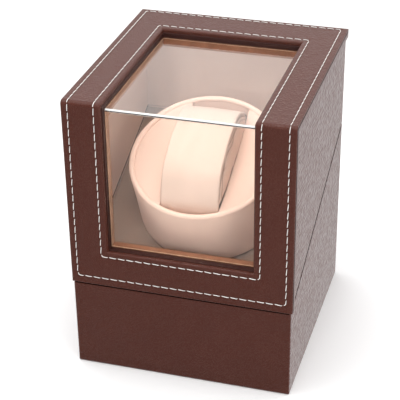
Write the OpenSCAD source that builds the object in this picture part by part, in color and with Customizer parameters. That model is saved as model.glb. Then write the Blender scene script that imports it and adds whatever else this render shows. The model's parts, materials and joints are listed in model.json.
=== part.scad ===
// Single watch winder box: a leather-covered case with a sloping seam, a hinged lid with a bent
// window, and a motor-driven drum that holds one watch on a pillow.
// Millimetres. Origin at the middle of the footprint, +Z up, the front faces -Y.

/* [Box] */
// Width of the box
box_w = 125; // [122:1:140]
// Depth of the case, without the hinge barrels
box_d = 132; // [130:1:140]
// Height of the box, feet included
box_h = 165; // [160:1:175]
// Height of the lid's lower front edge
seam_h = 54; // [52:1:58]
// Slope of the seam along the sides, degrees
seam_slope = 21.6; // [21:0.1:22.4]
// Gap between the base and the closed lid
seam_gap = 0.4; // [0.3:0.1:0.6]
// Radius of the case's vertical corners
corner_r = 1.7; // [1:0.1:2.2]
// Height of the foot pads
foot_h = 1; // [0.8:0.1:2]

/* [Boards and linings] */
// Thickness of the base's front board
base_front_t = 5; // [4.5:0.5:6]
// Thickness of both back boards
back_t = 5; // [4:0.5:6]
// Thickness of the base's side boards
base_side_t = 3.3; // [3:0.1:4]
// How far the lid's side boards stand back from its front panel
side_inset = 0.5; // [0.3:0.1:0.8]
// Thickness of the velvet linings
lining_t = 0.7; // [0.5:0.1:1]
// Thickness of the bottom panel
bottom_t = 4; // [4:0.5:5]
// Thickness of the sloping deck under the drum
deck_t = 4; // [3:0.5:4.5]

/* [Lid and window] */
// Thickness of the lid's front
lid_front_t = 6; // [5:0.5:7]
// Thickness of the lid's top
lid_top_t = 5; // [4:0.5:6]
// Radius of the fold between the lid's front and top
fold_r = 2.5; // [1.5:0.5:4]
// Width of the window
window_w = 82; // [70:1:90]
// Height of the window's sill
window_sill = 76; // [72:1:90]
// Distance of the window's rear edge from the front
window_back = 107; // [90:1:110]
// Thickness of the bent acrylic pane
pane_t = 2; // [1.5:0.5:2]
// Overlap of the pane behind the leather
pane_lap = 4; // [3:0.5:5]
// Depth of the copper trim frame behind the pane
trim_t = 5; // [3:0.5:5]

/* [Drum and pillow] */
// Tilt of the drum's axis towards the front, degrees
drum_tilt = 24.6; // [23.5:0.1:25]
// Outer diameter of the drum
drum_d = 85.2; // [80:0.2:86]
// Height of the drum's wall
drum_h = 41.75; // [38:0.25:43]
// Thickness of the drum's wall
drum_wall = 2.4; // [2:0.1:3]
// Width of the slot for the pillow
slot_w = 34.4; // [33.8:0.2:36]
// Depth of the slot below the rim
slot_depth = 21; // [18:1:24]
// Width of the pillow
pillow_w = 33; // [30:0.5:33]
// Length of the pillow along the slot
pillow_l = 70; // [60:1:70]
// Height of the pillow above the rim
pillow_rise = 17.5; // [14:0.5:18]

/* [Gears] */
// Module of the gears
gear_m = 0.8; // [0.7:0.05:0.8]
// Teeth of the output gear
output_teeth = 48; // [48]
// Teeth of the idler's large wheel
idler_teeth = 40; // [40]
// Teeth of the idler's pinion and of the motor pinion
pinion_teeth = 12; // [12]

/* [Fits] */
// Running clearance of shafts and pins, on the radius
run_gap = 0.05; // [0.03:0.01:0.08]
// Radius of the drum shaft
shaft_r = 3; // [2.5:0.5:3]
// Radius of the idler axle
axle_r = 1.5; // [1.2:0.1:1.8]
// Radius of the motor shaft
motor_shaft_r = 1; // [0.8:0.1:1.2]

/* [Hidden] */
$fn = 96;

// A cut runs past the face it opens by this much.
past = 1;

// Case: the hinge barrels stand behind the back board, so the case sits a little to the front.
barrel_r = 2;
case_front = -(box_d + barrel_r) / 2;
case_back = case_front + box_d;
base_inner_front = case_front + base_front_t;
inner_back = case_back - back_t;
inner_w = box_w - 2 * base_side_t;
lid_outer_w = box_w - 2 * side_inset;
panel_inner = case_front + lid_front_t;
ceiling = box_h - lid_top_t;

// Seam: height of the base's upper edge at any depth; the lid starts seam_gap above it.
function seam_z(y) = seam_h - seam_gap + tan(seam_slope) * (y - case_front);

// Drum: the hub is the point where the axis meets the deck's upper face.
hub_y = 2;
hub_z = 76.45;
function deck_z(y) = hub_z + tan(drum_tilt) * (y - hub_y);
drum_base = 1.75;
drum_top = drum_base + drum_h;
drum_r = drum_d / 2;
drum_floor_t = 2.5;
drum_inner_r = drum_r - drum_wall;
insert_r = drum_inner_r - 0.1;
insert_skin = 2.4;
insert_top = drum_top - 1.5;
slot_floor = drum_top - slot_depth;

// Gear train, in the tilted frame: output gear on the hub, idler to its left, motor behind it.
output_r = output_teeth * gear_m / 2;
idler_r = idler_teeth * gear_m / 2;
pinion_r = pinion_teeth * gear_m / 2;
idler_x = -(output_r + pinion_r);
motor_u = idler_r + pinion_r;
upper_level = [-14, -8];
lower_level = [-20, -16];
housing_top = -deck_t;
housing_plate = 2;
housing_floor = -21;
cover_t = 2;
housing_wall = 1.6;
post_in = 3;
housing_x = [idler_x - idler_r - 2.8, output_r + 2.8];
housing_u = [-output_r - 2.8, motor_u + pinion_r + 3];
motor_r = 12;
motor_l = 20;
motor_top = housing_floor - cover_t;
bush_r = 5;
boss_r = 7.5;

// Window
pane_w = window_w + 2 * pane_lap;
window_rear = case_front + window_back;
pane_front = panel_inner + pane_t;
pane_under = ceiling - pane_t;

// Hinges, in the seam's rear edge
hinge_z = seam_z(case_back) + seam_gap / 2;
hinge_x = 38;
hinge_w = 24;
knuckle_w = 8;
knuckle_gap = 0.25;
leaf_t = 0.9;
leaf_h = 12;
channel_r = barrel_r + 0.3;
hinge_pin_r = 0.9;
hinge_screw_x = 8;
hinge_screw_z = 8;

// Rear plate with the inlet and the mode knob
rear_z = 30;
rear_w = 47.6;
rear_h = 23.6;
rear_flange = 3.2;
rear_flange_t = 0.8;
rear_wall = 1.5;
rear_floor = case_back - 6;
jack_x = 12;
knob_x = -10;
jack_r = 4;
socket_r = 2.75;
spindle_r = 1.5;
knob_r = 6.5;

// Underside
panel_z = foot_h;
panel_top = foot_h + bottom_t;
panel_gap = 0.2;
foot_x = 46;
foot_front = -50;
foot_back = 48;
foot_r = 7;
screw_x = 54;
screw_front = -57;
screw_back = 55;

// Batteries: two AA cells side by side, lying across the box
cell_r = 7.1;
cell_l = 50.5;
cell_pitch = 15.2;
cell_z = panel_z + 9.5;
battery_y = -5;
battery_w = 60;
battery_d = 31;
battery_wall = 1.5;
door_t = 2;
door_w = 66;
door_d = 37;
door_travel = 8;
door_gap = 0.3;

// Magnets in the front edge
magnet_r = 1.75;
magnet_h = 3;
magnet_x = 45;

leather = [0.33, 0.21, 0.18];
velvet = [0.87, 0.77, 0.71];
copper = [0.62, 0.38, 0.27];
walnut = [0.62, 0.47, 0.33];
steel = [0.72, 0.73, 0.75];
black_plastic = [0.12, 0.12, 0.13];
white_plastic = [0.92, 0.91, 0.87];
brass = [0.80, 0.66, 0.35];

// ---- helpers ----

// Extrudes a profile drawn in depth and height to width w, centred on the middle plane.
module across(w) {
    rotate([90, 0, 90])
        translate([0, 0, -w / 2])
            linear_extrude(w)
                children();
}

// The drum's own frame: z along its axis, origin on the deck.
module tilted() {
    translate([0, hub_y, hub_z])
        rotate([drum_tilt, 0, 0])
            children();
}

// A block from one corner to the opposite one.
module block(low, high) {
    translate(low)
        cube(high - low);
}

// A rectangle with true round corners.
module round_rect(w, d, r) {
    square([w - 2 * r, d], center = true);
    square([w, d - 2 * r], center = true);
    for (x = [-1, 1], y = [-1, 1])
        translate([x * (w / 2 - r), y * (d / 2 - r)])
            circle(r);
}

// A cylinder along +Y from y0 to y1.
module rod_y(x, z, y0, y1, r) {
    translate([x, y1, z])
        rotate([90, 0, 0])
            cylinder(h = y1 - y0, r = r);
}

// The part of the case's depth profile below the seam.
module below_seam(y0, y1, z0) {
    polygon([[y0, z0], [y1, z0], [y1, seam_z(y1)], [y0, seam_z(y0)]]);
}

// The part of the case's depth profile above the seam.
module above_seam(y0, y1, z1) {
    polygon([[y0, seam_z(y0) + seam_gap], [y1, seam_z(y1) + seam_gap], [y1, z1], [y0, z1]]);
}

// An L in the depth profile, of the given thickness, behind the lid's front and top.
module fold_profile(front, top, t_front, t_top, low, rear) {
    polygon([
        [front, low], [front + t_front, low], [front + t_front, top - t_top],
        [rear, top - t_top], [rear, top], [front, top]
    ]);
}

// The window's opening through everything between two depths below the lid's surface.
module window_cut(front0, front1, top0, top1) {
    block([-window_w / 2, front0, window_sill], [window_w / 2, front1, top1]);
    block([-window_w / 2, front0, top0], [window_w / 2, window_rear, top1]);
}

// A straight-flanked gear with backlash, a tooth pointing at the angle phase.
module gear(teeth, level, phase) {
    r = teeth * gear_m / 2;
    translate([0, 0, level[0]])
        linear_extrude(level[1] - level[0]) {
            circle(r - 1.15 * gear_m);
            for (i = [0 : teeth - 1])
                rotate(phase + i * 360 / teeth)
                    polygon([
                        [r - 1.4 * gear_m, -0.95 * gear_m], [r, -0.62 * gear_m],
                        [r + 0.85 * gear_m, -0.3 * gear_m], [r + 0.85 * gear_m, 0.3 * gear_m],
                        [r, 0.62 * gear_m], [r - 1.4 * gear_m, 0.95 * gear_m]
                    ]);
        }
}

// A screw whose head rests on z = 0 and whose shank points down.
module screw(head_r, head_h, shank_r, shank_l) {
    difference() {
        cylinder(h = head_h, r = head_r);
        for (a = [0, 90])
            rotate([0, 0, a])
                translate([0, 0, head_h])
                    cube([1.3 * head_r, 0.28 * head_r, 0.9 * head_h], center = true);
    }
    translate([0, 0, -shank_l])
        cylinder(h = shank_l, r = shank_r);
}

// Places children at the four corners of the underside.
module at_corners(x, front, back) {
    for (sx = [-1, 1], y = [front, back])
        translate([sx * x, y, 0])
            children();
}

// Places children at both magnets.
module at_magnets() {
    for (sx = [-1, 1])
        translate([sx * magnet_x, case_front + base_front_t / 2, 0])
            children();
}

// ---- base ----

module magnet_pocket_base() {
    at_magnets()
        translate([0, 0, seam_h - 0.1 - magnet_h])
            cylinder(h = magnet_h + 3, r = magnet_r);
}

// Round channel that the hinge barrels turn in.
module hinge_channels() {
    for (sx = [-1, 1])
        translate([sx * hinge_x - hinge_w / 2 - knuckle_gap, case_back, hinge_z])
            rotate([0, 90, 0])
                cylinder(h = hinge_w + 2 * knuckle_gap, r = channel_r);
}

// Screw places of one row of leaves; up is 1 for the lid and -1 for the base.
module at_hinge_screws(up) {
    for (sx = [-1, 1], s = [-1, 1])
        translate([sx * hinge_x + s * hinge_screw_x, case_back + leaf_t, hinge_z + up * hinge_screw_z])
            rotate([-90, 0, 0])
                children();
}

module hinge_screw() {
    screw(1.6, 0.6, 0.8, 4.4);
}

module base_carcass() {
    color(leather)
        difference() {
            intersection() {
                across(box_w)
                    below_seam(case_front, case_back, foot_h);
                translate([0, (case_front + case_back) / 2, 0])
                    linear_extrude(box_h)
                        round_rect(box_w, box_d, corner_r);
            }
            block([-inner_w / 2, base_inner_front, 0], [inner_w / 2, inner_back, box_h]);
            block(
                [-rear_w / 2 - panel_gap, inner_back - past, rear_z - rear_h / 2 - panel_gap],
                [rear_w / 2 + panel_gap, case_back + past, rear_z + rear_h / 2 + panel_gap]
            );
            magnet_pocket_base();
            hinge_channels();
            at_hinge_screws(-1)
                translate([0, 0, -4.4])
                    cylinder(h = 4.4, r = 0.8);
            at_rear_screws()
                translate([0, 0, -4.4])
                    cylinder(h = 4.4, r = 0.7);
        }
}

module base_lining() {
    color(velvet)
        difference() {
            across(inner_w)
                polygon([
                    [base_inner_front, deck_z(base_inner_front)], [inner_back, deck_z(inner_back)],
                    [inner_back, seam_z(inner_back)], [base_inner_front, seam_z(base_inner_front)]
                ]);
            block(
                [-inner_w / 2 + lining_t, base_inner_front + lining_t, 0],
                [inner_w / 2 - lining_t, inner_back - lining_t, box_h]
            );
        }
}

// Depth profile of a sloping board between two distances below the deck's upper face.
module slope_profile(y0, y1, top, bottom) {
    polygon([
        [y0, deck_z(y0) - bottom], [y1, deck_z(y1) - bottom],
        [y1, deck_z(y1) - top], [y0, deck_z(y0) - top]
    ]);
}

module deck() {
    color(velvet)
        difference() {
            across(inner_w)
                slope_profile(base_inner_front, inner_back, 0, deck_t / cos(drum_tilt));
            tilted()
                translate([0, 0, -deck_t - past])
                    cylinder(h = deck_t + 2 * past, r = boss_r + 0.5);
        }
}

module deck_battens() {
    batten_w = 6;
    batten_h = 8;
    under = deck_t / cos(drum_tilt);
    color(walnut)
        for (sx = [-1, 1])
            translate([sx * (inner_w - batten_w) / 2, 0, 0])
                across(batten_w)
                    slope_profile(base_inner_front, inner_back, under, under + batten_h);
}

module bottom_panel() {
    low_y = battery_y - battery_d / 2;
    high_y = battery_y + battery_d / 2;
    door_y = battery_y - door_d / 2;
    color(black_plastic)
        difference() {
            block(
                [-inner_w / 2 + panel_gap, base_inner_front + panel_gap, panel_z],
                [inner_w / 2 - panel_gap, inner_back - panel_gap, panel_top]
            );
            block([-battery_w / 2, low_y, 0], [battery_w / 2, high_y, panel_top + past]);
            block(
                [-door_w / 2, door_y, 0],
                [door_w / 2, door_y + door_d + door_travel + 1, panel_z + door_t + 0.2]
            );
            at_corners(screw_x, screw_front, screw_back) {
                cylinder(h = panel_z + 1.5, r = 2.6);
                cylinder(h = panel_top + past, r = 1.2);
            }
        }
}

module corner_blocks() {
    block_w = 11;
    block_h = 15;
    color(walnut)
        difference() {
            for (sx = [-1, 1], y = [base_inner_front, inner_back - block_w])
                translate([sx * (inner_w - block_w) / 2, y + block_w / 2, panel_top + block_h / 2])
                    cube([block_w, block_w, block_h], center = true);
            at_corners(screw_x, screw_front, screw_back)
                translate([0, 0, panel_top - past])
                    cylinder(h = 9 + past, r = 1.2);
        }
}

module foot_pads() {
    color([0.1, 0.1, 0.1])
        at_corners(foot_x, foot_front, foot_back)
            cylinder(h = foot_h, r = foot_r);
}

module bottom_screws() {
    color(steel)
        at_corners(screw_x, screw_front, screw_back)
            translate([0, 0, panel_z + 1.5])
                rotate([180, 0, 0])
                    screw(2.4, 1.3, 1.2, panel_top + 9 - panel_z - 1.5);
}

module base_magnets() {
    color(steel)
        at_magnets()
            translate([0, 0, seam_h - 0.1 - magnet_h])
                cylinder(h = magnet_h, r = magnet_r);
}

// ---- drive ----

module at_idler() {
    translate([idler_x, 0, 0])
        children();
}

module at_motor() {
    translate([idler_x, motor_u, 0])
        children();
}

module at_gearbox_screws() {
    for (x = [housing_x[0] + post_in, housing_x[1] - post_in])
        for (u = [housing_u[0] + post_in, housing_u[1] - post_in])
            translate([x, u, 0])
                children();
}

module gearbox_housing() {
    wall_in = [housing_wall, housing_wall, 0];
    color(white_plastic)
        tilted()
            difference() {
                union() {
                    block(
                        [housing_x[0], housing_u[0], housing_floor],
                        [housing_x[1], housing_u[1], housing_top]
                    );
                    cylinder(h = 0.2, r = boss_r);
                    translate([0, 0, housing_top])
                        cylinder(h = -housing_top, r = boss_r);
                }
                difference() {
                    block(
                        [housing_x[0], housing_u[0], housing_floor - past] + wall_in,
                        [housing_x[1], housing_u[1], housing_top - housing_plate] - wall_in
                    );
                    at_gearbox_screws()
                        translate([0, 0, housing_floor - past])
                            cylinder(h = 30, r = 1.8);
                }
                translate([0, 0, housing_top - housing_plate - past])
                    cylinder(h = 10, r = bush_r);
                at_gearbox_screws()
                    translate([0, 0, housing_floor])
                        cylinder(h = 8, r = 0.8);
            }
}

module gearbox_cover() {
    color(white_plastic)
        tilted()
            difference() {
                union() {
                    block(
                        [housing_x[0], housing_u[0], housing_floor - cover_t],
                        [housing_x[1], housing_u[1], housing_floor]
                    );
                    translate([0, 0, housing_floor])
                        cylinder(h = 3.5, r = 5);
                }
                translate([0, 0, housing_floor - past / 2])
                    cylinder(h = 5, r = shaft_r + run_gap);
                at_motor()
                    translate([0, 0, housing_floor - cover_t - past])
                        cylinder(h = cover_t + 2 * past, r = 3);
                at_gearbox_screws()
                    translate([0, 0, housing_floor - cover_t - past])
                        cylinder(h = cover_t + 2 * past, r = 0.8);
            }
}

module gearbox_screws() {
    color(steel)
        tilted()
            at_gearbox_screws()
                translate([0, 0, housing_floor - cover_t])
                    rotate([180, 0, 0])
                        screw(1.6, 0.9, 0.8, 8);
}

module shaft_bush() {
    color(brass)
        tilted()
            difference() {
                translate([0, 0, housing_top - housing_plate])
                    cylinder(h = 0.2 - housing_top + housing_plate, r = bush_r);
                translate([0, 0, housing_top - housing_plate - past])
                    cylinder(h = 10, r = shaft_r + run_gap);
            }
}

module idler_axle() {
    color(steel)
        tilted()
            at_idler()
                translate([0, 0, housing_floor])
                    cylinder(h = housing_top - housing_plate - housing_floor, r = axle_r);
}

module drive_motor() {
    color(steel)
        tilted()
            at_motor()
                difference() {
                    union() {
                        translate([0, 0, motor_top - motor_l])
                            cylinder(h = motor_l, r = motor_r);
                        translate([0, 0, motor_top])
                            cylinder(h = 1.6, r = 3);
                        translate([0, 0, motor_top - motor_l - 1.2])
                            cylinder(h = 1.2, r = 4);
                        for (s = [-1, 1])
                            translate([s * 7, 0, motor_top - motor_l - 1.5])
                                cube([0.8, 3, 3], center = true);
                    }
                    translate([0, 0, motor_top - 9])
                        cylinder(h = 15, r = motor_shaft_r + run_gap);
                }
}

module control_board() {
    board_z = panel_top + 3;
    board_t = 1.6;
    top = board_z + board_t;
    for (x = [-22, 22], y = [-54, -33])
        color(white_plastic)
            translate([x, y, panel_top])
                cylinder(h = 3, r = 2);
    color([0.1, 0.35, 0.2])
        block([-25, -57, board_z], [25, -30, top]);
    color(black_plastic) {
        block([-6, -47, top], [4, -41, top + 1.6]);
        block([-20, -52, top], [-14, -46, top + 1.2]);
        block([16, -40, top], [23, -34, top + 5]);
        block([-23, -40, top], [-16, -34, top + 5]);
    }
    color(steel)
        translate([13, -48, top])
            cylinder(h = 7, r = 3);
}

// A smooth curve through the points, with steps positions between each two of them.
function curve_point(p, i, t) =
    let (
        a = p[max(i - 1, 0)],
        b = p[i],
        c = p[i + 1],
        d = p[min(i + 2, len(p) - 1)]
    )
    (2 * b + (c - a) * t + (2 * a - 5 * b + 4 * c - d) * t * t + (3 * b - a - 3 * c + d) * t * t * t) / 2;
function curve(p, steps) = [
    for (i = [0 : len(p) - 2])
        for (k = [0 : steps - 1])
            curve_point(p, i, k / steps),
    p[len(p) - 1]
];
function unit(a) = a / norm(a);

// A wire of round section along a path; none of its runs is upright.
module wire(path, r) {
    sides = 8;
    last = len(path) - 1;
    rings = [
        for (i = [0 : last])
            let (
                along = unit(path[min(i + 1, last)] - path[max(i - 1, 0)]),
                side = unit(cross(along, [0, 0, 1])),
                up = cross(along, side)
            )
            for (k = [0 : sides - 1])
                path[i] + r * (cos(k * 360 / sides) * side + sin(k * 360 / sides) * up)
    ];
    skin = [
        for (i = [0 : last - 1])
            for (k = [0 : sides - 1])
                let (a = i * sides + k, b = i * sides + (k + 1) % sides)
                for (face = [[a, a + sides, b], [b, a + sides, b + sides]])
                    face
    ];
    near_cap = [for (k = [0 : sides - 1]) k];
    far_cap = [for (k = [sides - 1 : -1 : 0]) last * sides + k];
    polyhedron(rings, concat(skin, [near_cap, far_cap]));
}

module wire_harness() {
    plug_z = panel_top + 7;
    motor_run = [
        [-31, 40.5, 42.4], [-32, 41, 40], [-40, 34, 30], [-42, 0, 22], [-40, -28, 15],
        [-33, -37, plug_z], [-23.2, -37, plug_z]
    ];
    inlet_run = [
        [jack_x, 46.8, rear_z], [jack_x + 0.5, 43, rear_z], [30, 34, 28], [42, 10, 22],
        [40, -28, 15], [33, -37, plug_z], [23.2, -37, plug_z]
    ];
    color([0.7, 0.12, 0.1]) {
        wire(curve(motor_run, 6), 0.9);
        wire(curve(inlet_run, 6), 0.9);
    }
}

// ---- rear controls and batteries ----

module at_rear_screws() {
    for (sx = [-1, 1])
        translate([sx * (rear_w + rear_flange) / 2, case_back + rear_flange_t, rear_z])
            rotate([-90, 0, 0])
                children();
}

module rear_plate() {
    color(black_plastic)
        difference() {
            union() {
                translate([0, case_back + rear_flange_t, rear_z])
                    rotate([90, 0, 0])
                        linear_extrude(rear_flange_t)
                            round_rect(rear_w + 2 * rear_flange, rear_h + 2 * rear_flange, 2);
                block(
                    [-rear_w / 2, rear_floor, rear_z - rear_h / 2],
                    [rear_w / 2, case_back + 0.1, rear_z + rear_h / 2]
                );
            }
            block(
                [-rear_w / 2 + rear_wall, rear_floor + rear_wall, rear_z - rear_h / 2 + rear_wall],
                [rear_w / 2 - rear_wall, case_back + past, rear_z + rear_h / 2 - rear_wall]
            );
            rod_y(jack_x, rear_z, rear_floor - past, rear_floor + 3, jack_r);
            rod_y(knob_x, rear_z, rear_floor - past, rear_floor + 3, 2.6);
            at_rear_screws()
                translate([0, 0, -2])
                    cylinder(h = 3, r = 0.7);
        }
}

module rear_screws() {
    color(steel)
        at_rear_screws()
            screw(1.3, 0.5, 0.7, 4.4);
}

module dc_jack() {
    body_l = 12;
    nose = rear_floor + rear_wall + 0.7;
    color(black_plastic)
        difference() {
            union() {
                block(
                    [jack_x - 5, rear_floor - body_l, rear_z - 5.5],
                    [jack_x + 5, rear_floor, rear_z + 5.5]
                );
                rod_y(jack_x, rear_z, rear_floor - past, nose, jack_r);
            }
            rod_y(jack_x, rear_z, nose - 9.5, nose + past, socket_r);
        }
    color(steel)
        rod_y(jack_x, rear_z, nose - 10, nose - 1.2, 1.05);
}

module mode_switch() {
    body_l = 8;
    color(black_plastic)
        difference() {
            union() {
                block([knob_x - 7, rear_floor - body_l, rear_z - 7], [knob_x + 7, rear_floor, rear_z + 7]);
                rod_y(knob_x, rear_z, rear_floor - past, rear_floor + rear_wall + 0.5, 2.6);
            }
            rod_y(knob_x, rear_z, rear_floor - 6, rear_floor + 5, spindle_r + run_gap);
        }
}

module mode_knob() {
    face = case_back + 1.3;
    skirt = rear_floor + rear_wall + 0.9;
    color(black_plastic) {
        rod_y(knob_x, rear_z, rear_floor - 5.5, skirt + 0.1, spindle_r);
        difference() {
            rod_y(knob_x, rear_z, skirt, face - 1.2, knob_r);
            for (a = [0 : 30 : 330])
                rod_y(
                    knob_x + (knob_r + 0.4) * cos(a), rear_z + (knob_r + 0.4) * sin(a),
                    skirt - past, face, 0.9
                );
        }
        translate([knob_x, face - 0.7, rear_z])
            cube([2, 1.4, 1.5 * knob_r], center = true);
    }
}

module battery_box() {
    top = cell_z + cell_r + 0.5;
    low_y = battery_y - battery_d / 2;
    high_y = battery_y + battery_d / 2;
    color(black_plastic)
        difference() {
            block(
                [-battery_w / 2 - battery_wall, low_y - battery_wall, panel_top],
                [battery_w / 2 + battery_wall, high_y + battery_wall, top + battery_wall]
            );
            block([-battery_w / 2, low_y, panel_top - past], [battery_w / 2, high_y, top]);
        }
}

// Places children on the axis of each cell, the second one turned round.
module at_cells() {
    for (s = [-1, 1])
        translate([0, battery_y + s * cell_pitch / 2, cell_z])
            rotate([0, 90 * s, 0])
                children();
}

module battery_cells() {
    color([0.15, 0.35, 0.6])
        at_cells() {
            translate([0, 0, -cell_l / 2])
                cylinder(h = cell_l - 1.2, r = cell_r);
            translate([0, 0, cell_l / 2 - 1.3])
                cylinder(h = 1.3, r = 2.7);
        }
}

module battery_contacts() {
    spring_turns = 4;
    gap_minus = battery_w / 2 - cell_l / 2;
    color(steel)
        at_cells() {
            translate([0, 0, battery_w / 2 - 0.25])
                cube([9, 9, 0.5], center = true);
            translate([0, 0, cell_l / 2])
                cylinder(h = battery_w / 2 - cell_l / 2 - 0.4, r = 2);
            translate([0, 0, -battery_w / 2 + 0.25])
                cube([9, 9, 0.5], center = true);
            for (i = [0 : spring_turns - 1])
                translate([0, 0, -cell_l / 2 - (i + 0.5) * (gap_minus - 0.5) / spring_turns])
                    rotate_extrude()
                        translate([4.4 - 0.5 * i, 0])
                            circle(0.5);
        }
}

module battery_door() {
    low_y = battery_y - door_d / 2 + door_gap;
    grip_y = battery_y + door_d / 2 - 7;
    color(black_plastic)
        difference() {
            block(
                [-door_w / 2 + door_gap, low_y, panel_z],
                [door_w / 2 - door_gap, low_y + door_d - 2 * door_gap, panel_z + door_t]
            );
            for (i = [0 : 4])
                block([-12, grip_y - 2.4 * i, panel_z - past], [12, grip_y + 1.2 - 2.4 * i, panel_z + 0.6]);
        }
}

// ---- hinges ----

// A cylinder on the hinge axis over part of the width, measured from the hinge's own middle.
module on_hinge(x0, x1, r) {
    translate([x0, case_back, hinge_z])
        rotate([0, 90, 0])
            cylinder(h = x1 - x0, r = r);
}

// Leaves that share a knuckle pattern: spans are the x ranges of the knuckles.
module leaves(spans, up) {
    for (sx = [-1, 1])
        translate([sx * hinge_x, 0, 0])
            difference() {
                union() {
                    for (s = spans) {
                        on_hinge(s[0], s[1], barrel_r);
                        translate([s[0], case_back, hinge_z + (up > 0 ? 0 : -channel_r - 0.1)])
                            cube([s[1] - s[0], leaf_t, channel_r + 0.1]);
                    }
                    leaf_z = up > 0 ? channel_r : -channel_r - leaf_h;
                    translate([-hinge_w / 2, case_back, hinge_z + leaf_z])
                        cube([hinge_w, leaf_t, leaf_h]);
                }
                on_hinge(-hinge_w, hinge_w, hinge_pin_r + run_gap);
                for (s = [-1, 1])
                    translate([s * hinge_screw_x, case_back - past, hinge_z + up * hinge_screw_z])
                        rotate([-90, 0, 0])
                            cylinder(h = 4, r = 0.8);
            }
}

module base_hinge_leaves() {
    color(brass)
        leaves([[-hinge_w / 2, -hinge_w / 2 + knuckle_w], [hinge_w / 2 - knuckle_w, hinge_w / 2]], -1);
}

module lid_hinge_leaves() {
    color(brass)
        leaves([[-hinge_w / 2 + knuckle_w + knuckle_gap, hinge_w / 2 - knuckle_w - knuckle_gap]], 1);
}

module hinge_pins() {
    color(steel)
        for (sx = [-1, 1])
            translate([sx * hinge_x, 0, 0])
                on_hinge(-hinge_w / 2, hinge_w / 2, hinge_pin_r);
}

module base_hinge_screws() {
    color(brass)
        at_hinge_screws(-1)
            hinge_screw();
}

module lid_hinge_screws() {
    color(brass)
        at_hinge_screws(1)
            hinge_screw();
}

// ---- lid ----

module lid_panel() {
    color(leather)
        difference() {
            across(box_w)
                difference() {
                    intersection() {
                        fold_profile(case_front, box_h, lid_front_t, lid_top_t, 0, case_back);
                        above_seam(case_front, case_back, box_h);
                    }
                    translate([case_front, box_h])
                        difference() {
                            square(2 * fold_r, center = true);
                            translate([fold_r, -fold_r])
                                circle(fold_r);
                        }
                }
            window_cut(case_front - past, panel_inner + past, ceiling - past, box_h + past);
            at_magnets()
                translate([0, 0, seam_h])
                    cylinder(h = magnet_h + 2, r = magnet_r);
        }
}

module lid_magnets() {
    color(steel)
        at_magnets()
            translate([0, 0, seam_h + 2])
                cylinder(h = magnet_h, r = magnet_r);
}

module lid_walls() {
    color(leather)
        difference() {
            intersection() {
                across(lid_outer_w)
                    above_seam(panel_inner, case_back, ceiling);
                translate([0, (case_front + case_back) / 2, 0])
                    linear_extrude(box_h)
                        round_rect(lid_outer_w, box_d, corner_r);
            }
            block([-inner_w / 2, panel_inner - past, 0], [inner_w / 2, inner_back, ceiling + past]);
            hinge_channels();
            at_hinge_screws(1)
                translate([0, 0, -4.4])
                    cylinder(h = 4.4, r = 0.8);
        }
}

module lid_lining() {
    lap = 0.2;
    color(velvet)
        difference() {
            across(inner_w)
                above_seam(panel_inner, inner_back, ceiling);
            block(
                [-inner_w / 2 + lining_t, panel_inner + lining_t, 0],
                [inner_w / 2 - lining_t, inner_back - lining_t, ceiling - lining_t]
            );
            block(
                [-pane_w / 2 - lap, panel_inner - past, window_sill - pane_lap - lap],
                [pane_w / 2 + lap, panel_inner + 2 * lining_t, box_h]
            );
            block(
                [-pane_w / 2 - lap, panel_inner - past, ceiling - 2 * lining_t],
                [pane_w / 2 + lap, window_rear + pane_lap + lap, box_h]
            );
        }
}

module lid_window() {
    color([0.9, 0.95, 0.97, 0.3])
        across(pane_w)
            fold_profile(
                panel_inner, ceiling, pane_t, pane_t, window_sill - pane_lap, window_rear + pane_lap
            );
}

module window_trim() {
    color(copper)
        difference() {
            across(pane_w)
                fold_profile(
                    pane_front, pane_under, trim_t, trim_t, window_sill - pane_lap, window_rear + pane_lap
                );
            window_cut(pane_front - past, pane_front + trim_t + past, pane_under - trim_t - past, box_h);
        }
}

// ---- drum and pillow ----

module drum_shell() {
    color(velvet)
        tilted()
            difference() {
                translate([0, 0, drum_base])
                    cylinder(h = drum_h, r = drum_r);
                translate([0, 0, drum_base + drum_floor_t])
                    cylinder(h = drum_h, r = drum_inner_r);
                at_drum_screws()
                    cylinder(h = 10, r = 1.2);
            }
}

module at_drum_screws() {
    for (a = [90 : 120 : 330])
        rotate([0, 0, a])
            translate([7, 0, 0])
                children();
}

module drum_insert() {
    floor_top = drum_base + drum_floor_t;
    cheek_x = slot_w / 2 + insert_skin;
    color(velvet)
        tilted()
            difference() {
                translate([0, 0, floor_top])
                    cylinder(h = insert_top - floor_top, r = insert_r);
                block([-slot_w / 2, -drum_r, slot_floor], [slot_w / 2, drum_r, drum_top]);
                translate([0, 0, floor_top - past])
                    cylinder(h = slot_floor - insert_skin - floor_top + past, r = insert_r - insert_skin);
                for (sx = [-1, 1])
                    intersection() {
                        translate([0, 0, floor_top])
                            cylinder(h = insert_top - insert_skin - floor_top, r = insert_r - insert_skin);
                        translate([sx * (cheek_x + drum_r / 2), 0, drum_r])
                            cube([drum_r, 2 * drum_r, 2 * drum_r], center = true);
                    }
            }
}

module drum_shaft() {
    color(steel)
        tilted()
            difference() {
                union() {
                    translate([0, 0, drum_base - 1.2])
                        cylinder(h = 1.2, r = 10);
                    translate([0, 0, -20.6])
                        cylinder(h = 20.6 + drum_base - 0.5, r = shaft_r);
                }
                at_drum_screws()
                    cylinder(h = 10, r = 1.2);
            }
}

module drum_screws() {
    color(steel)
        tilted()
            at_drum_screws()
                translate([0, 0, drum_base + drum_floor_t])
                    screw(2.3, 1.3, 1.2, drum_floor_t + 1.2);
}

module output_gear() {
    color(white_plastic)
        tilted()
            difference() {
                union() {
                    gear(output_teeth, upper_level, 0);
                    translate([0, 0, upper_level[1]])
                        cylinder(h = 1.6, r = 5);
                }
                translate([0, 0, upper_level[0] - past])
                    cylinder(h = 12, r = shaft_r);
            }
}

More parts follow.
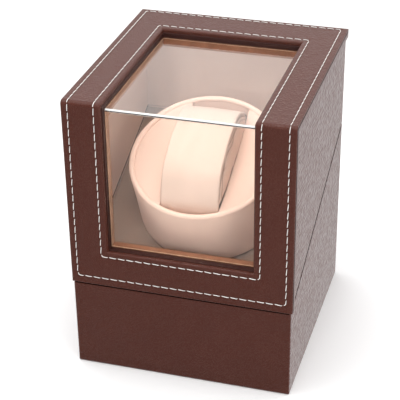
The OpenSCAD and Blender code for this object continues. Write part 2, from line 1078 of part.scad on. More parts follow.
module shaft_clip() {
    color(steel)
        tilted()
            translate([0, 0, upper_level[0] - 0.9])
                difference() {
                    cylinder(h = 0.8, r = 4.8);
                    translate([0, 0, -past])
                        cylinder(h = 3, r = shaft_r);
                }
}

module idler_gear() {
    color(white_plastic)
        tilted()
            at_idler()
                difference() {
                    union() {
                        gear(pinion_teeth, upper_level, 180 / pinion_teeth);
                        gear(idler_teeth, lower_level, 0);
                        translate([0, 0, lower_level[1] - 0.1])
                            cylinder(h = upper_level[0] - lower_level[1] + 0.2, r = 3.4);
                    }
                    translate([0, 0, lower_level[0] - past])
                        cylinder(h = 20, r = axle_r + run_gap);
                }
}

module motor_pinion() {
    color(brass)
        tilted()
            at_motor()
                difference() {
                    gear(pinion_teeth, lower_level, 180 / pinion_teeth);
                    translate([0, 0, lower_level[0] - past])
                        cylinder(h = 12, r = motor_shaft_r);
                }
}

module motor_shaft() {
    color(steel)
        tilted()
            at_motor()
                translate([0, 0, motor_top - 8])
                    cylinder(h = lower_level[1] + 0.4 - motor_top + 8, r = motor_shaft_r);
}

// Soft pillow, along the slot and above the drum's rim.
module watch_pillow() {
    half = pillow_l / 2;
    crown = [
        [half, -slot_depth + 6], [half, -3.5], [half - 1.4, 0.6], [half - 4, 4.2],
        [half - 7.5, 8.3], [half - 11, 11.6], [half - 15, 14], [half - 20.5, 15.6],
        [half - 28, pillow_rise]
    ];
    color([0.95, 0.87, 0.80])
        tilted()
            translate([0, 0, drum_top])
                across(pillow_w)
                    polygon(concat(
                        [[-half + 3, -slot_depth + 1], [half - 3, -slot_depth + 1]],
                        crown,
                        [for (i = [len(crown) - 1 : -1 : 0]) [-crown[i][0], crown[i][1]]]
                    ));
}

base_carcass();
base_lining();
deck();
deck_battens();
bottom_panel();
corner_blocks();
foot_pads();
bottom_screws();
base_magnets();
gearbox_housing();
gearbox_cover();
gearbox_screws();
shaft_bush();
idler_axle();
drive_motor();
control_board();
wire_harness();
rear_plate();
rear_screws();
dc_jack();
mode_switch();
battery_box();
battery_cells();
battery_contacts();
base_hinge_leaves();
hinge_pins();
base_hinge_screws();
lid_panel();
lid_walls();
lid_lining();
lid_window();
window_trim();
lid_magnets();
lid_hinge_leaves();
lid_hinge_screws();
drum_shell();
drum_insert();
drum_shaft();
drum_screws();
output_gear();
shaft_clip();
watch_pillow();
idler_gear();
motor_pinion();
motor_shaft();
mode_knob();
battery_door();
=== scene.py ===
"""The looks of the watch winder box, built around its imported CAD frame.

Everything is in metres in the frame's own axes: +Z up, the window faces -Y. Lengths written in
millimetres are multiplied by MM. Places come from the CAD nodes' boxes and from the joints.
"""

import json
import math
import random

import bmesh
import bpy
import numpy as np
from mathutils import Matrix, Vector


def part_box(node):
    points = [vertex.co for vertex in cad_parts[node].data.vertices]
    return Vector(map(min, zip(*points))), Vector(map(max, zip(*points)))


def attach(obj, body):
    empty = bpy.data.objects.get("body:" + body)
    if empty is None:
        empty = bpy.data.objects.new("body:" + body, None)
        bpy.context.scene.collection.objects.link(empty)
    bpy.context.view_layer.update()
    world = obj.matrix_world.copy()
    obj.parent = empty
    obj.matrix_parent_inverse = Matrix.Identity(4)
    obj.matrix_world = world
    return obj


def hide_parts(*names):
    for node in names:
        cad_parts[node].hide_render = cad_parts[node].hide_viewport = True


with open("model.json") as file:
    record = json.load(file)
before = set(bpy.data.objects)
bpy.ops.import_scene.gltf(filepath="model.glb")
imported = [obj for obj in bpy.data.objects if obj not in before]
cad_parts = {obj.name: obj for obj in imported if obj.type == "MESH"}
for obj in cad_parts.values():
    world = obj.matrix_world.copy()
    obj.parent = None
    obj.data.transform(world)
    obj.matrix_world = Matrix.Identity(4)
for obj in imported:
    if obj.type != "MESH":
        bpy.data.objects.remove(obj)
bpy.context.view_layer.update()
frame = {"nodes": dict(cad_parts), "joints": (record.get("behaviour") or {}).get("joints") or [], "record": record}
NODES = frame["nodes"]
JOINTS = {joint["name"]: joint for joint in frame["joints"]}
MM = 0.001

# ---------- places, from the frame

panel_low, panel_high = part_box("lid_panel")
pane_low, pane_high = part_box("lid_window")
walls_low, walls_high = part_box("lid_walls")
FRONT, BACK, TOP, HALF_WIDTH = panel_low.y, panel_high.y, panel_high.z, panel_high.x
LID_BOTTOM = panel_low.z
PANE_FRONT, PANE_TOP = pane_low.y, pane_high.z
PANE_LAP = 4 * MM
WINDOW_HALF = pane_high.x - PANE_LAP
WINDOW_SILL = pane_low.z + PANE_LAP
WINDOW_REAR = pane_high.y - PANE_LAP
FOLD_RADIUS = 2.5 * MM
PANE_THICKNESS = 2 * MM
CEILING = PANE_TOP

base_low, base_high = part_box("base_carcass")
cavity_low, cavity_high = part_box("base_lining")
SEAM_GAP = 0.4 * MM
SEAM_FRONT = LID_BOTTOM - SEAM_GAP
SEAM_SLOPE = (base_high.z - SEAM_FRONT) / (BACK - FRONT)
HINGE = Vector(JOINTS["lid_hinge"]["pos_m"])
CHANNEL_RADIUS = 2.3 * MM
HINGE_WIDTH = 24 * MM
HINGE_GAP = 0.25 * MM
MAGNET_RADIUS = 1.75 * MM

HUB = Vector(JOINTS["drum_spin"]["pos_m"])
AXIS = Vector(JOINTS["drum_spin"]["axis"]).normalized()
RIGHT = Vector((1, 0, 0))
SLOPE_UP = AXIS.cross(RIGHT).normalized()


def seam_z(y):
    """Height of the base's upper edge at a depth; the closed lid starts SEAM_GAP above it."""
    return SEAM_FRONT + SEAM_SLOPE * (y - FRONT)


def reach(node, direction):
    """Lowest and highest distance of a CAD node along a direction, measured from the hub."""
    along = [(v.co - HUB).dot(direction) for v in NODES[node].data.vertices]
    return min(along), max(along)


def in_drum(x, along, height):
    """A point given across the drum, up its slope and along its axis."""
    return HUB + RIGHT * x + SLOPE_UP * along + AXIS * height


DRUM_BASE, DRUM_RIM = reach("drum_shell", AXIS)
DRUM_RADIUS = reach("drum_shell", RIGHT)[1]
CHEEK_RADIUS = reach("drum_insert", RIGHT)[1]
PILLOW_HALF_W = reach("watch_pillow", RIGHT)[1]
PILLOW_HALF_L = reach("watch_pillow", SLOPE_UP)[1]
PILLOW_BASE = reach("watch_pillow", AXIS)[0]

# ---------- node-based materials


class Material:
    """A Principled material with small helpers for its procedural inputs."""

    def __init__(self, name, color, roughness, **sockets):
        self.mat = bpy.data.materials.new(name)
        self.mat.use_nodes = True
        self.nodes = self.mat.node_tree.nodes
        self.links = self.mat.node_tree.links
        self.shader = self.nodes["Principled BSDF"]
        self.shader.inputs["Base Color"].default_value = (*color, 1)
        self.shader.inputs["Roughness"].default_value = roughness
        for socket, value in sockets.items():
            self.shader.inputs[socket.replace("_", " ")].default_value = value
        self.place = self.nodes.new("ShaderNodeTexCoord").outputs["Object"]

    def node(self, kind, **values):
        made = self.nodes.new(kind)
        for key, value in values.items():
            socket = made.inputs.get(key.replace("_", " "))
            if socket is not None:
                socket.default_value = value
            else:
                setattr(made, key, value)
        return made

    def noise(self, size, detail=3.0, stretch=None):
        """Cloudy noise with features of about the given size in metres."""
        made = self.node("ShaderNodeTexNoise", Scale=1 / size, Detail=detail)
        self.links.new(self.stretched(stretch), made.inputs["Vector"])
        return made.outputs["Fac"]

    def cells(self, size, feature="F1", randomness=1.0, smoothness=0.0, stretch=None):
        """Rounded cells of about the given size in metres: 0 in the middle of each."""
        made = self.node("ShaderNodeTexVoronoi", feature=feature, Scale=1 / size, Randomness=randomness)
        if feature == "SMOOTH_F1":
            made.inputs["Smoothness"].default_value = smoothness
        self.links.new(self.stretched(stretch), made.inputs["Vector"])
        return made.outputs["Distance"]

    def stretched(self, stretch):
        if stretch is None:
            return self.place
        made = self.node("ShaderNodeMapping")
        made.inputs["Scale"].default_value = stretch
        self.links.new(self.place, made.inputs["Vector"])
        return made.outputs["Vector"]

    def remap(self, value, low, high, new_low, new_high):
        made = self.node("ShaderNodeMapRange")
        self.links.new(value, made.inputs["Value"])
        for socket, number in zip(made.inputs[1:5], (low, high, new_low, new_high)):
            socket.default_value = number
        return made.outputs["Result"]

    def cloud(self, size, detail, low=0, high=1, stretch=None):
        """Noise with its middle range spread over low to high."""
        return self.remap(self.noise(size, detail, stretch), 0.3, 0.7, low, high)

    def math(self, operation, a, b):
        made = self.node("ShaderNodeMath", operation=operation)
        for socket, value in zip(made.inputs, (a, b)):
            if isinstance(value, (int, float)):
                socket.default_value = value
            else:
                self.links.new(value, socket)
        return made.outputs["Value"]

    def mix(self, factor, first, second):
        """Two colours, or a colour and a socket, mixed by a value."""
        made = self.node("ShaderNodeMix", data_type="RGBA")
        self.links.new(factor, made.inputs[0])
        for socket, value in zip((made.inputs[6], made.inputs[7]), (first, second)):
            if isinstance(value, tuple):
                socket.default_value = (*value, 1)
            else:
                self.links.new(value, socket)
        return made.outputs[2]

    def color(self, value):
        self.links.new(value, self.shader.inputs["Base Color"])

    def rough(self, value):
        self.links.new(value, self.shader.inputs["Roughness"])

    def bump(self, height, depth, strength=1.0):
        """Adds relief of the given depth in metres, on top of any relief set before."""
        made = self.node("ShaderNodeBump", Strength=strength, Distance=depth)
        self.links.new(height, made.inputs["Height"])
        if self.shader.inputs["Normal"].is_linked:
            before = self.shader.inputs["Normal"].links[0].from_socket
            self.links.new(before, made.inputs["Normal"])
        self.links.new(made.outputs["Normal"], self.shader.inputs["Normal"])


def leather(name, dark, light, roughness=0.42, grain=1.1, relief=0.24):
    """Brown leatherette: raised pebbles between fine creases, in slightly uneven brown."""
    m = Material(name, dark, roughness, IOR=1.36)
    rounded_cells = m.cells(grain * MM, "SMOOTH_F1", 1.0, 0.2, (1, 0.32, 1))
    pebble = m.remap(rounded_cells, 0.1, 0.6, 1, 0)
    uneven = m.remap(m.noise(12 * MM, 4), 0.35, 0.65, 0, 1)
    m.color(m.mix(pebble, dark, m.mix(uneven, dark, light)))
    m.rough(m.cloud(3 * MM, 2, roughness - 0.05, roughness + 0.07))
    m.bump(pebble, relief * MM, 1.0)
    m.bump(m.noise(0.5 * MM, 2), 0.03 * MM, 0.6)
    return m.mat


def shade_cord(name, color):
    """Near-black leather colour that catches hardly any light, for cords that paint the shade in seams and under
    folded edges.
    """
    m = Material(name, color, 0.9, IOR=1.3, Specular_IOR_Level=0.05)
    m.color(m.mix(m.noise(4 * MM, 2), color, tuple(1.6 * c for c in color)))
    m.bump(m.noise(0.6 * MM, 2), 0.03 * MM, 0.5)
    return m.mat


def pile(name, color, nap=1.0):
    """The start of each velvet: matt, with a faint nap at grazing angles and a flocked pile."""
    m = Material(
        name, color, 0.95, Sheen_Weight=0.12 * nap, Sheen_Roughness=0.5,
        Sheen_Tint=(1, 0.88, 0.80, 1), Specular_IOR_Level=0.1,
    )
    m.bump(m.noise(0.35 * MM, 3), 0.06 * MM, 0.6)
    return m


def velvet(name, dark, light, nap=1.0):
    """Velvet with soft brushed streaks."""
    m = pile(name, dark, nap)
    m.color(m.mix(m.cloud(9 * MM, 3, stretch=(1, 0.35, 0.35)), dark, light))
    m.bump(m.noise(7 * MM, 2), 0.25 * MM, 0.3)
    return m.mat


def velvet_shaded_low(name, low_color, high_color, low_z, high_z):
    """Velvet that is darker towards the bottom: painted shade, for the shade low in the base."""
    m = pile(name, high_color)
    split = m.node("ShaderNodeSeparateXYZ")
    m.links.new(m.place, split.inputs[0])
    uneven = m.remap(m.noise(9 * MM, 3), 0, 1, -4 * MM, 4 * MM)
    height = m.remap(m.math("ADD", split.outputs["Z"], uneven), low_z, high_z, 0, 1)
    m.color(m.mix(height, low_color, high_color))
    return m.mat


def satin(name, dark, light):
    """Satin paper with a faint weave."""
    m = Material(
        name, dark, 0.42, IOR=1.5, Sheen_Weight=0.9, Sheen_Roughness=0.35, Sheen_Tint=(1, 0.75, 0.58, 1)
    )
    m.color(m.mix(m.cloud(5 * MM, 3), dark, light))
    m.bump(m.cells(0.5 * MM, "F1", 0.2), 0.03 * MM, 0.5)
    return m.mat


def plastic(name, color, roughness=0.45, grain=0.5):
    """Moulded plastic with a fine spark-eroded texture."""
    m = Material(name, color, roughness, IOR=1.48)
    darker = tuple(0.8 * c for c in color)
    m.color(m.mix(m.noise(6 * MM, 2), color, darker))
    m.bump(m.noise(grain * MM, 2), 0.03 * MM, 0.5)
    return m.mat


def metal(name, color, roughness=0.3):
    """Bright metal with fine brushing and slightly varied polish."""
    m = Material(name, color, roughness, Metallic=1.0)
    m.rough(m.cloud(0.8 * MM, 3, roughness - 0.08, roughness + 0.12, (1, 8, 1)))
    m.bump(m.noise(0.25 * MM, 2, (1, 12, 1)), 0.01 * MM, 0.4)
    return m.mat


def board(name, light, dark):
    """Raw fibreboard or softwood with a grain along its length."""
    m = Material(name, light, 0.75)
    m.color(m.mix(m.noise(1.2 * MM, 4, (0.15, 0.15, 1)), light, dark))
    m.bump(m.noise(0.6 * MM, 3), 0.05 * MM, 0.6)
    return m.mat


def clear(name, color, roughness=0.015):
    """Clear acrylic that lets lamps shine through to what is behind it."""
    m = Material(name, color, roughness, Transmission_Weight=1.0, IOR=1.45)
    m.bump(m.noise(60 * MM, 1), 0.05 * MM, 0.05)
    output = m.nodes["Material Output"]
    through = m.node("ShaderNodeBsdfTransparent", Color=(0.97, 0.97, 0.96, 1))
    chosen = m.node("ShaderNodeMixShader")
    path = m.node("ShaderNodeLightPath")
    m.links.new(path.outputs["Is Shadow Ray"], chosen.inputs["Fac"])
    m.links.new(m.shader.outputs["BSDF"], chosen.inputs[1])
    m.links.new(through.outputs["BSDF"], chosen.inputs[2])
    m.links.new(chosen.outputs["Shader"], output.inputs["Surface"])
    return m.mat


LEATHER = leather("leatherette", (0.085, 0.0205, 0.0125), (0.100, 0.026, 0.016), 0.34, 1.7, 0.42)
COVER_LEATHER = leather(
    "leatherette_cover", (0.085, 0.0215, 0.013), (0.100, 0.027, 0.0165), 0.36, 0.7, 0.15
)
CREAM = (0.80, 0.60, 0.50)
LINING = velvet("lining_velvet", CREAM, (0.84, 0.645, 0.54))
# The deck's velvet is a darker copy of the lining's: painted shade where the drum shadows the deck.
DECK_SHADED_VELVET = velvet("deck_shaded_velvet", (0.42, 0.295, 0.225), (0.455, 0.325, 0.25))
# The base's lining darkens towards the bottom: painted shade.
BASE_LINING_SHADED = velvet_shaded_low("base_lining_shaded_velvet", (0.46, 0.335, 0.27), CREAM, 80 * MM, 100 * MM)
DRUM_VELVET = velvet("drum_velvet", (0.78, 0.555, 0.45), (0.83, 0.595, 0.485))
CHEEK_VELVET = velvet("cheek_velvet", (0.71, 0.50, 0.405), (0.755, 0.535, 0.435))
PILLOW_VELOUR = velvet("pillow_velour", (0.63, 0.47, 0.385), (0.67, 0.50, 0.415), 0.7)
# A lighter copy of the pillow's velour for its side panels: painted light.
PILLOW_SIDE_LIT = velvet("pillow_side_lit_velour", (0.81, 0.65, 0.56), (0.85, 0.69, 0.595), 0.7)
# Dark velour for the cords in the pillow's pleats: painted shade.
PLEAT_SHADE_VELOUR = velvet("pleat_shade_velour", (0.44, 0.29, 0.21), (0.50, 0.34, 0.25), 0.3)
# A darker copy of the leather for the window's reveal: painted shade.
LEATHER_SHADED = leather("leatherette_shaded", (0.04, 0.0095, 0.0065), (0.05, 0.0125, 0.008), 0.5, 0.9, 0.08)
# Near-black for cords in the seams and under the cover's edges: painted shade.
SHADE_BLACK = shade_cord("painted_shade_black", (0.010, 0.004, 0.003))
COPPER = satin("copper_satin", (0.22, 0.085, 0.040), (0.31, 0.135, 0.070))
# Light satin for a thin line round the window: painted highlight.
HIGHLIGHT_SATIN = satin("painted_highlight_satin", (0.60, 0.36, 0.24), (0.70, 0.44, 0.30))
THREAD = plastic("white_thread", (0.95, 0.92, 0.88), 0.6, 1.5)
ACRYLIC = clear("clear_acrylic", (0.985, 0.975, 0.965))
# White for a strip along the pane's bend: painted glint.
GLINT_WHITE = plastic("painted_fold_glint", (0.93, 0.92, 0.90), 0.22, 2.0)
BLACK = plastic("black_plastic", (0.018, 0.018, 0.020))
WHITE = plastic("white_acetal", (0.78, 0.76, 0.70), 0.4)
RUBBER = plastic("rubber", (0.02, 0.02, 0.02), 0.8, 0.3)
STEEL = metal("steel", (0.62, 0.63, 0.65))
BRASS = metal("brass", (0.66, 0.47, 0.20), 0.28)
WOOD = board("fibreboard", (0.50, 0.34, 0.20), (0.36, 0.22, 0.12))
GREEN_BOARD = plastic("circuit_board", (0.02, 0.13, 0.06), 0.35)
WIRE = plastic("wire_cover", (0.45, 0.03, 0.02), 0.4)
CELL = plastic("cell_sleeve", (0.03, 0.10, 0.32), 0.25)

SLOT_MATERIALS = {
    "leather": LEATHER, "velvet": LINING, "pillow": PILLOW_VELOUR, "copper": COPPER,
    "acrylic": ACRYLIC, "wood": WOOD, "black_plastic": BLACK, "white_plastic": WHITE,
    "steel": STEEL, "brass": BRASS, "rubber": RUBBER, "board": GREEN_BOARD, "wire": WIRE,
    "cell": CELL,
}

# ---------- mesh helpers


def add_object(name, mesh, material):
    """A new object from a mesh or a bmesh, with one material."""
    if isinstance(mesh, bmesh.types.BMesh):
        made = bpy.data.meshes.new(name)
        mesh.to_mesh(made)
        mesh.free()
        mesh = made
    obj = bpy.data.objects.new(name, mesh)
    bpy.context.scene.collection.objects.link(obj)
    mesh.materials.clear()
    mesh.materials.append(material)
    return obj


def joined(name, parts, material):
    """Several objects made into one."""
    mesh = bmesh.new()
    for part in parts:
        mesh.from_mesh(part.data)
        bpy.data.objects.remove(part)
    return add_object(name, mesh, material)


def smooth(obj):
    obj.data.polygons.foreach_set("use_smooth", [True] * len(obj.data.polygons))
    obj.data.update()


def modify(obj, kind, **settings):
    """A new modifier with its settings."""
    made = obj.modifiers.new(kind.lower(), kind)
    for key, value in settings.items():
        setattr(made, key, value)


def apply_modifiers(obj):
    """Keeps the mesh that the modifiers make."""
    graph = bpy.context.evaluated_depsgraph_get()
    made = bpy.data.meshes.new_from_object(obj.evaluated_get(graph))
    obj.modifiers.clear()
    obj.data = made


def grid_mesh(rows, close_columns=False, close_rows=False, cap=False):
    """A bmesh through rows of points; every row has the same number of points."""
    mesh = bmesh.new()
    made = [[mesh.verts.new(p) for p in row] for row in rows]
    row_count, column_count = len(rows), len(rows[0])
    for i in range(row_count if close_rows else row_count - 1):
        for j in range(column_count if close_columns else column_count - 1):
            a, b = made[i], made[(i + 1) % row_count]
            mesh.faces.new((a[j], a[(j + 1) % column_count], b[(j + 1) % column_count], b[j]))
    if cap:
        mesh.faces.new(reversed(made[0]))
        mesh.faces.new(made[-1])
    bmesh.ops.recalc_face_normals(mesh, faces=mesh.faces)
    return mesh


def sheet(name, rows, material, **closing):
    """A smoothly shaded surface through rows of points."""
    obj = add_object(name, grid_mesh(rows, **closing), material)
    smooth(obj)
    return obj


def prism(name, profile, x0, x1, material):
    """A profile of (y, z) points extruded across the box from x0 to x1."""
    rows = [[Vector((x, y, z)) for y, z in profile] for x in (x0, x1)]
    return add_object(name, grid_mesh(rows, close_columns=True, cap=True), material)


def block(name, low, high):
    """A plain block, used only to cut other meshes."""
    mesh = bmesh.new()
    bmesh.ops.create_cube(mesh, size=1)
    middle, size = (low + high) / 2, high - low
    for v in mesh.verts:
        v.co = Vector(c * s for c, s in zip(v.co, size)) + middle
    return add_object(name, mesh, LEATHER)


def rod(name, start, end, radius):
    """A cylinder between two points, used only to cut other meshes."""
    mesh = bmesh.new()
    start, end = Vector(start), Vector(end)
    turn = (end - start).to_track_quat("Z", "Y").to_matrix().to_4x4()
    bmesh.ops.create_cone(
        mesh, cap_ends=True, segments=32, radius1=radius, radius2=radius,
        depth=(end - start).length, matrix=Matrix.Translation((start + end) / 2) @ turn,
    )
    return add_object(name, mesh, LEATHER)


def carve(obj, *cutters):
    """Cuts the cutters out of obj and removes them."""
    for cutter in cutters:
        modify(obj, "BOOLEAN", operation="DIFFERENCE", solver="EXACT", object=cutter)
        apply_modifiers(obj)
        bpy.data.objects.remove(cutter)


def bevel(obj, width, segments, angle):
    """A modifier that rounds all edges sharper than an angle in degrees."""
    limit = math.radians(angle)
    modify(obj, "BEVEL", width=width, segments=segments, limit_method="ANGLE", angle_limit=limit)


def rounded(obj, width, segments=3):
    """Rounds the sharp edges for good, before small cut-outs are made."""
    bevel(obj, width, segments, 35)
    apply_modifiers(obj)


def shade(obj, sharp=50):
    """Smooth shading that keeps the sharp edges and the flat faces as they are."""
    mesh = bmesh.new()
    mesh.from_mesh(obj.data)
    for face in mesh.faces:
        face.smooth = True
    for edge in mesh.edges:
        edge.smooth = len(edge.link_faces) == 2 and edge.calc_face_angle() < math.radians(sharp)
    mesh.to_mesh(obj.data)
    mesh.free()
    modify(obj, "WEIGHTED_NORMAL", keep_sharp=True)


def soften(node, width):
    """Rounds a CAD node's sharp edges with modifiers; its own mesh stays as it is."""
    modify(node, "WELD", merge_threshold=0.001 * MM)
    modify(node, "DECIMATE", decimate_type="DISSOLVE", angle_limit=math.radians(0.5))
    bevel(node, width, 2, 40)


def tube(name, points, radius, material, closed=False):
    """A round cord through points, as a mesh."""
    curve = bpy.data.curves.new(name, "CURVE")
    curve.dimensions = "3D"
    curve.bevel_depth = radius
    curve.bevel_resolution = 2
    curve.use_fill_caps = True
    spline = curve.splines.new("POLY")
    spline.points.add(len(points) - 1)
    for place, point in zip(spline.points, points):
        place.co = (*point, 1)
    spline.use_cyclic_u = closed
    helper = bpy.data.objects.new(name, curve)
    bpy.context.scene.collection.objects.link(helper)
    graph = bpy.context.evaluated_depsgraph_get()
    mesh = bpy.data.meshes.new_from_object(helper.evaluated_get(graph))
    bpy.data.objects.remove(helper)
    cord = add_object(name, mesh, material)
    smooth(cord)
    return cord


def arc(center, radius, start, end, steps):
    """Points of a circular arc in a plane; angles in degrees."""
    angles = [math.radians(start + (end - start) * i / steps) for i in range(steps + 1)]
    return [(center[0] + radius * math.cos(a), center[1] + radius * math.sin(a)) for a in angles]


# ---------- CAD nodes kept as they are


def finish_cad_nodes():
    """Gives every CAD node its material, and rounds the moulded and cut edges that show."""
    for entry in frame["record"]["subparts"]:
        node = NODES[entry["node"]]
        node.data.materials.clear()
        node.data.materials.append(SLOT_MATERIALS[entry["material_slot"]])
    # The deck gets the darker copy of the velvet: painted shade.
    NODES["deck"].data.materials[0] = DECK_SHADED_VELVET
    # The base's lining gets the velvet with painted shade low down.
    NODES["base_lining"].data.materials[0] = BASE_LINING_SHADED
    softened = {
        "rear_plate": 0.35, "bottom_panel": 0.3, "battery_door": 0.3, "foot_pads": 0.25,
        "mode_knob": 0.3, "base_hinge_leaves": 0.1, "lid_hinge_leaves": 0.1,
        "base_lining": 0.34, "lid_lining": 0.34,
    }
    for name, width in softened.items():
        soften(NODES[name], width * MM)


# ---------- leather case


def hinge_cutters():
    """The round channels in the seam's rear edge that the hinge barrels turn in."""
    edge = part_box("base_hinge_leaves")[1].x
    inner, outer = edge - HINGE_WIDTH - HINGE_GAP, edge + HINGE_GAP
    cutters = []
    for side in (-1, 1):
        start, end = [(side * x, HINGE.y, HINGE.z) for x in (inner, outer)]
        cutters.append(rod("channel", start, end, CHANNEL_RADIUS))
    return cutters


def magnet_cutters():
    """The two pockets for the base's magnets, open towards the seam."""
    low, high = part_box("base_magnets")
    y = (low.y + high.y) / 2
    cutters = []
    for x in (low.x + MAGNET_RADIUS, high.x - MAGNET_RADIUS):
        start, end = (x, y, low.z), (x, y, seam_z(y) + 2 * MM)
        cutters.append(rod("pocket", start, end, MAGNET_RADIUS + 0.02 * MM))
    return cutters


BASE_INSET = 0.5 * MM
BASE_PROUD = 0.25 * MM
BASE_HANG = 1 * MM
BOARD_ROUND = 0.9 * MM
LINING_DEPTH = 0.7 * MM


def make_base_case():
    """The leather-covered base: a wedge with soft edges, open above and below."""
    front = FRONT + BASE_PROUD
    bottom = base_low.z - BASE_HANG
    profile = [(front, bottom), (BACK, bottom), (BACK, base_high.z), (front, seam_z(front))]
    case = prism("base_case", profile, base_low.x + BASE_INSET, base_high.x - BASE_INSET, LEATHER)
    inner_low = Vector((cavity_low.x, cavity_low.y, -1 * MM))
    inner_high = Vector((cavity_high.x, cavity_high.y, TOP))
    carve(case, block("cavity", inner_low, inner_high))
    rounded(case, BOARD_ROUND, 4)
    plate_low, plate_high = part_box("rear_plate")
    frame_width = 3.1 * MM
    opening = block(
        "opening",
        Vector((plate_low.x + frame_width, cavity_high.y - 1 * MM, plate_low.z + frame_width)),
        Vector((plate_high.x - frame_width, BACK + 1 * MM, plate_high.z - frame_width)),
    )
    carve(case, opening, *hinge_cutters(), *magnet_cutters())
    shade(case)
    case.data.materials.append(COVER_LEATHER)
    for face in case.data.polygons:
        face.material_index = int(face.normal.y < -0.8)
    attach(case, "base")
    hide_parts("base_carcass")


def make_lid_sides():
    """The lid's side and back boards, set slightly in from the front panel."""
    front = walls_low.y
    profile = [
        (front, seam_z(front) + SEAM_GAP), (BACK, seam_z(BACK) + SEAM_GAP),
        (BACK, walls_high.z), (front, walls_high.z),
    ]
    sides = prism("lid_sides", profile, walls_low.x, walls_high.x, LEATHER)
    inner_low = Vector((cavity_low.x, front - 1 * MM, 0))
    inner_high = Vector((cavity_high.x, cavity_high.y, TOP))
    carve(sides, block("cavity", inner_low, inner_high))
    rounded(sides, BOARD_ROUND, 4)
    carve(sides, *hinge_cutters())
    shade(sides)
    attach(sides, "lid")
    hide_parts("lid_walls")


def make_seam_shade_lines():
    """Near-black cords in the seam, outside in front and inside and outside at the sides: painted shade for the
    seam's dark gap.
    """
    wide = HALF_WIDTH - 1.6 * MM
    y, z = FRONT + 0.6 * MM, SEAM_FRONT + 0.12 * MM
    cords = [tube("seam_lines", [(-wide, y, z), (wide, y, z)], 0.42 * MM, SHADE_BLACK)]
    inside = (cavity_high.x - LINING_DEPTH + 0.1 * MM, 0.28 * MM)
    outside = (base_high.x - 0.8 * MM, 0.4 * MM)
    depths = (cavity_low.y + 1 * MM, BACK - 3 * MM)
    for side in (-1, 1):
        for x, radius in (inside, outside):
            ends = [(side * x, depth, seam_z(depth) + SEAM_GAP / 2) for depth in depths]
            cords.append(tube("seam_lines", ends, radius, SHADE_BLACK))
    seam_lines = joined("seam_shade_lines", cords, SHADE_BLACK)
    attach(seam_lines, "base")


# ---------- the lid's skin and its leather

FOLD_START = TOP - FOLD_RADIUS - LID_BOTTOM
FOLD_RUN = FOLD_RADIUS * math.pi / 2


def on_lid(x, s, lift):
    """A point on the lid's skin: s runs up the front from the lid's lower edge and over the fold."""
    if s < FOLD_START:
        return Vector((x, FRONT - lift, LID_BOTTOM + s))
    if s < FOLD_START + FOLD_RUN:
        turn = (s - FOLD_START) / FOLD_RADIUS
        radius = FOLD_RADIUS + lift
        center_y, center_z = FRONT + FOLD_RADIUS, TOP - FOLD_RADIUS
        return Vector((x, center_y - radius * math.cos(turn), center_z + radius * math.sin(turn)))
    return Vector((x, FRONT + FOLD_RADIUS + s - FOLD_START - FOLD_RUN, TOP + lift))


def lid_run(y):
    """The distance s at which the lid's top reaches the depth y."""
    return FOLD_START + FOLD_RUN + y - FRONT - FOLD_RADIUS


COVER_DEPTH = 6 * MM
COVER_BACK = BACK + 2.2 * MM
COVER_HALF = HALF_WIDTH + 0.3 * MM
EDGE_ROUND = 0.75 * MM
LIP_ROUND = 1.3 * MM
GROOVE_DEPTH = 0.22 * MM
GROOVE_WIDTH = 0.55 * MM
COVER_END = lid_run(COVER_BACK)
SILL_RUN = WINDOW_SILL - LID_BOTTOM
REAR_RUN = lid_run(WINDOW_REAR)


def stations(low, high, marks, step):
    """Sorted places from low to high that include all marks and leave no gap wider than step."""
    marks = sorted({round(m, 7) for m in (low, high, *marks) if low - 1e-9 <= m <= high + 1e-9})
    places = []
    for a, b in zip(marks, marks[1:]):
        parts = max(1, math.ceil((b - a) / step - 1e-6))
        places += [a + (b - a) * i / parts for i in range(parts)]
    return places + [marks[-1]]


def edge_marks(edge, inward, radius):
    """Places across a rounded edge."""
    turns = [math.radians(a) for a in range(0, 91, 18)]
    return [edge + inward * radius * (1 - math.cos(turn)) for turn in turns]


def fold_marks():
    """Places over the fold between the lid's front and top."""
    return [FOLD_START + FOLD_RUN * i / 8 for i in range(9)]


def groove_marks(groove):
    """Places across a stitched groove."""
    return [groove + k * 0.5 * MM for k in (-2, -1, 0, 1, 2)]


def bell(x):
    return math.exp(-x ** 2)


def dip(distance, radius):
    """How far a rounded edge lies below the skin at a distance inside the edge."""
    if distance >= radius:
        return 0.0
    return radius - math.sqrt(max(0.0, radius ** 2 - (radius - distance) ** 2))


def fold_wrinkles(x, s):
    """Small gathers in the leather where the right member is folded over to the top."""
    middle = FOLD_START + 0.45 * FOLD_RUN
    if x < WINDOW_HALF + 1 * MM:
        return 0.0
    across = 0.5 + 0.5 * math.sin(x / (0.26 * MM) + 2.2 * math.sin(x / (1.9 * MM)))
    size = 0.55 * MM * (0.6 + 0.4 * math.sin(x / (2.3 * MM)))
    return size * across * bell((s - middle) / (1.3 * MM))


def cover_places(loops):
    """Places across and along the cover, close together where its surface turns."""
    across, along = [], fold_marks()
    for side in (-1, 1):
        across += edge_marks(side * COVER_HALF, -side, EDGE_ROUND)
        across += edge_marks(side * WINDOW_HALF, side, LIP_ROUND)
    along += edge_marks(0, 1, EDGE_ROUND) + edge_marks(COVER_END, -1, EDGE_ROUND)
    along += edge_marks(SILL_RUN, -1, LIP_ROUND) + edge_marks(REAR_RUN, 1, LIP_ROUND)
    for half, low, high in loops:
        across += groove_marks(-half) + groove_marks(half)
        along += groove_marks(low) + groove_marks(high)
    # close columns over the right member, where the gathers are
    across += [WINDOW_HALF + k * 0.45 * MM for k in range(4, 46)]
    return stations(-COVER_HALF, COVER_HALF, across, 4 * MM), stations(0, COVER_END, along, 4 * MM)


